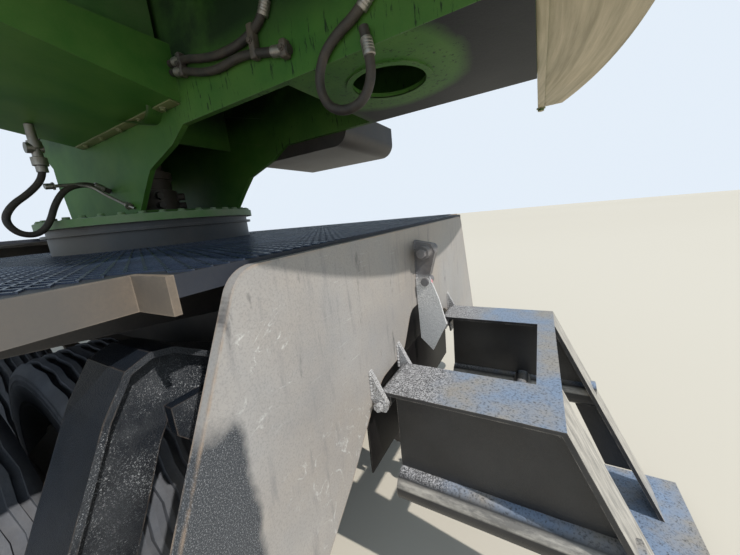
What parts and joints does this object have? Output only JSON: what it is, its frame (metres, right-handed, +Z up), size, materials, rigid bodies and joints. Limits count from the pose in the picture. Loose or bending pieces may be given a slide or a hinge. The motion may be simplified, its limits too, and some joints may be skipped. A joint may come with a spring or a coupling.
{
  "type": "knuckleboom log loader",
  "caption": "Trailer-mounted knuckleboom log loader with gooseneck frame, twin-tyred axles, slewing cab and engine, folding boom, rotating grapple and stabilisers",
  "frame": {"origin": "middle of the kingpin's lower flange, on its axis", "axes": "+X forward along the trailer, +Y to its left, +Z up"},
  "size_m": [10.5053, 2.6876, 5.9149],
  "materials": {
    "black_paint": "worn black paint",
    "grey_paint": "scuffed grey paint",
    "grating": "black expanded metal",
    "dusty_edge": "dust over paint",
    "tyre": "worn tread rubber",
    "rim_paint": "dusty paint",
    "green_paint": "satin paint",
    "dark_steel": "dark paint",
    "chrome_rod": "polished",
    "cast_iron": "rough",
    "bare_steel": "heat-tinted",
    "seat_fabric": "woven",
    "glass": "clear",
    "hose_rubber": "matt"
  },
  "bodies": {
    "trailer": {"main_beams": "black_paint", "crossmembers": "black_paint", "deck_brackets": "black_paint", "coupler_plate": "black_paint", "neck_deck": "black_paint", "deck_grating": "grating", "deck_edge": "dusty_edge", "pedestal": "black_paint", "end_plate": "grey_paint", "arch_frame": "black_paint", "plate_lugs": "black_paint", "springs": "black_paint", "axles": "black_paint", "leg_sleeves": "black_paint"},
    "wheel_1_left": {"tyres_1_left": "tyre", "rims_1_left": "rim_paint"},
    "wheel_1_right": {"tyres_1_right": "tyre", "rims_1_right": "rim_paint"},
    "wheel_2_left": {"tyres_2_left": "tyre", "rims_2_left": "rim_paint"},
    "wheel_2_right": {"tyres_2_right": "tyre", "rims_2_right": "rim_paint"},
    "leg_left": {"leg_left": "black_paint"},
    "leg_right": {"leg_right": "black_paint"},
    "rear_arm": {"rear_arm": "black_paint"},
    "arm_barrel": {"arm_barrel": "dark_steel"},
    "arm_rod": {"arm_rod": "chrome_rod"},
    "superstructure": {"slew_ring": "green_paint", "slew_frame": "green_paint", "counterweight": "green_paint", "oil_tank": "green_paint", "side_tray": "black_paint", "engine_cover": "green_paint", "engine": "cast_iron", "exhaust": "bare_steel", "cab_floor": "green_paint", "cab_shell": "green_paint", "cab_roof": "green_paint", "cab_glass": "glass", "seat": "seat_fabric", "boom_tower": "green_paint", "hose_upper": "hose_rubber", "hose_lower": "hose_rubber", "hose_tail": "hose_rubber", "hose_front": "hose_rubber"},
    "door": {"cab_door": "green_paint", "door_glass": "glass"},
    "boom": {"main_boom": "green_paint"},
    "lift_barrels": {"lift_barrels": "dark_steel"},
    "lift_rods": {"lift_rods": "chrome_rod"},
    "stick": {"stick": "green_paint"},
    "stick_barrel": {"stick_barrel": "dark_steel"},
    "stick_rod": {"stick_rod": "chrome_rod"},
    "hanger": {"hanger": "dark_steel"},
    "grapple": {"rotator": "dark_steel", "grapple_head": "dark_steel"},
    "tong_front": {"tong_front": "dark_steel"},
    "tong_rear": {"tong_rear": "dark_steel"},
    "grapple_barrel": {"grapple_barrel": "dark_steel"},
    "grapple_rod": {"grapple_rod": "chrome_rod"}
  },
  "joints": [
    {"name": "wheel_1_left_spin", "type": "hinge", "parent": "trailer", "child": "wheel_1_left", "pos_m": [-7.95, 0.9925, -0.6185], "axis": [0, 1, 0], "continuous": true},
    {"name": "wheel_1_right_spin", "type": "hinge", "parent": "trailer", "child": "wheel_1_right", "pos_m": [-7.95, -0.9925, -0.6185], "axis": [0, 1, 0], "continuous": true},
    {"name": "wheel_2_left_spin", "type": "hinge", "parent": "trailer", "child": "wheel_2_left", "pos_m": [-6.68, 0.9925, -0.6185], "axis": [0, 1, 0], "continuous": true},
    {"name": "wheel_2_right_spin", "type": "hinge", "parent": "trailer", "child": "wheel_2_right", "pos_m": [-6.68, -0.9925, -0.6185], "axis": [0, 1, 0], "continuous": true},
    {"name": "leg_left_slide", "type": "slide", "parent": "trailer", "child": "leg_left", "axis": [0, 0, 1], "range_m": [0, 0.42]},
    {"name": "leg_right_slide", "type": "slide", "parent": "trailer", "child": "leg_right", "axis": [0, 0, 1], "range_m": [0, 0.42]},
    {"name": "rear_arm_hinge", "type": "hinge", "parent": "trailer", "child": "rear_arm", "pos_m": [-8.89, 0, -0.3185], "axis": [0, 1, 0], "range_deg": [0, 35]},
    {"name": "arm_barrel_hinge", "type": "hinge", "parent": "trailer", "child": "arm_barrel", "pos_m": [-8.76, 0, -0.7735], "axis": [0, 1, 0], "range_deg": [0, 15]},
    {"name": "arm_rod_slide", "type": "slide", "parent": "arm_barrel", "child": "arm_rod", "axis": [-0.9536, 0, 0.3011], "range_m": [0, 0.222]},
    {"name": "slew", "type": "hinge", "parent": "trailer", "child": "superstructure", "pos_m": [-7, 0, 0.3465], "axis": [0, 0, 1], "continuous": true},
    {"name": "door_hinge", "type": "hinge", "parent": "superstructure", "child": "door", "pos_m": [-7.638, 1.2413, 1.6865], "axis": [0, 0, 1], "range_deg": [0, 105]},
    {"name": "boom_hinge", "type": "hinge", "parent": "superstructure", "child": "boom", "pos_m": [-6.85, 0, 1.9365], "axis": [0, -1, 0], "range_deg": [-20, 45]},
    {"name": "lift_barrel_hinge", "type": "hinge", "parent": "superstructure", "child": "lift_barrels", "pos_m": [-6.4, 0, 0.8865], "axis": [0, -1, 0], "range_deg": [-14.5, 32.5]},
    {"name": "lift_rod_slide", "type": "slide", "parent": "lift_barrels", "child": "lift_rods", "axis": [0.5984, 0, 0.8012], "range_m": [-0.306, 0.688]},
    {"name": "stick_hinge", "type": "hinge", "parent": "boom", "child": "stick", "pos_m": [-3.03949, 0, 4.1365], "axis": [0, -1, 0], "range_deg": [-120, 0]},
    {"name": "stick_barrel_hinge", "type": "hinge", "parent": "boom", "child": "stick_barrel", "pos_m": [-6.06237, 0, 2.77229], "axis": [0, -1, 0], "range_deg": [-2, 0.1]},
    {"name": "stick_rod_slide", "type": "slide", "parent": "stick_barrel", "child": "stick_rod", "axis": [0.8759, 0, 0.4825], "range_m": [0, 0.724]},
    {"name": "hanger_swing", "type": "hinge", "parent": "stick", "child": "hanger", "pos_m": [0.21038, 0, 4.70954], "axis": [0, 1, 0], "range_deg": [-120, 25]},
    {"name": "rotator_spin", "type": "hinge", "parent": "hanger", "child": "grapple", "pos_m": [0.21038, 0, 4.49354], "axis": [0, 0, 1], "continuous": true},
    {"name": "tong_front_hinge", "type": "hinge", "parent": "grapple", "child": "tong_front", "pos_m": [0.40038, 0, 4.14354], "axis": [0, -1, 0], "range_deg": [0, 45]},
    {"name": "tong_rear_hinge", "type": "hinge", "parent": "grapple", "child": "tong_rear", "pos_m": [0.02038, 0, 4.14354], "axis": [0, 1, 0], "range_deg": [0, 45]},
    {"name": "grapple_barrel_hinge", "type": "hinge", "parent": "tong_front", "child": "grapple_barrel", "pos_m": [0.51038, 0, 4.22154], "axis": [0, 1, 0], "range_deg": [0, 45]},
    {"name": "grapple_rod_slide", "type": "slide", "parent": "grapple_barrel", "child": "grapple_rod", "axis": [-1, 0, 0], "range_m": [-0.178, 0]}
  ],
  "couplings": [
    {"joint": "arm_barrel_hinge", "follows": "rear_arm_hinge", "ratio": 0.402},
    {"joint": "arm_rod_slide", "follows": "rear_arm_hinge", "m_per_rad": 0.3602},
    {"joint": "lift_barrel_hinge", "follows": "boom_hinge", "ratio": 0.717},
    {"joint": "lift_rod_slide", "follows": "boom_hinge", "m_per_rad": 0.8689},
    {"joint": "stick_barrel_hinge", "follows": "stick_hinge", "ratio": 0.0145},
    {"joint": "stick_rod_slide", "follows": "stick_hinge", "m_per_rad": -0.344},
    {"joint": "tong_rear_hinge", "follows": "tong_front_hinge", "ratio": 1},
    {"joint": "grapple_barrel_hinge", "follows": "tong_front_hinge", "ratio": 1},
    {"joint": "grapple_rod_slide", "follows": "tong_front_hinge", "m_per_rad": -0.2226}
  ]
}
